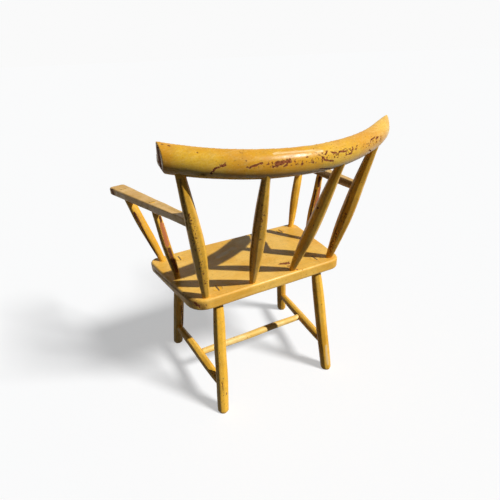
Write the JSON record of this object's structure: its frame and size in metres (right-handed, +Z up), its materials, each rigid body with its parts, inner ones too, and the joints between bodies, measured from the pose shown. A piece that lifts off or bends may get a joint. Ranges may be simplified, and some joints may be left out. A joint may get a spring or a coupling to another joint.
{
  "type": "hedge chair",
  "caption": "Low armchair of hand-shaved sticks wedged into a thick plank seat, with a half-round crest rail, short arms and stretchers between splayed legs.",
  "frame": {"origin": "on the floor, under the middle of the chair's outline", "axes": "+X the sitter's left, +Y the back of the chair, +Z up"},
  "size_m": [0.6794, 0.6023, 0.8334],
  "materials": {
    "painted_wood": "worn yellow ochre paint over a red-brown ground",
    "seat_paint": "worn yellow ochre paint, chipped along the edges",
    "crest_paint": "yellow ochre paint with a soft sheen, chipped through to red-brown",
    "arm_paint": "yellow ochre paint faded and worn on top",
    "wedge_wood": "end grain under worn paint"
  },
  "bodies": {
    "root": {"seat": "seat_paint", "crest_rail": "crest_paint", "outer_post_left": "painted_wood", "outer_post_right": "painted_wood", "inner_spindle_left": "painted_wood", "inner_spindle_right": "painted_wood", "arm_left": "arm_paint", "arm_right": "arm_paint", "arm_post_front_left": "painted_wood", "arm_post_front_right": "painted_wood", "arm_post_middle_left": "painted_wood", "arm_post_middle_right": "painted_wood", "leg_back_left": "painted_wood", "leg_back_right": "painted_wood", "leg_front_left": "painted_wood", "leg_front_right": "painted_wood", "stretcher_left": "painted_wood", "stretcher_right": "painted_wood", "stretcher_cross": "painted_wood", "leg_wedges": "wedge_wood", "arm_post_wedges": "wedge_wood"}
  },
  "joints": []
}
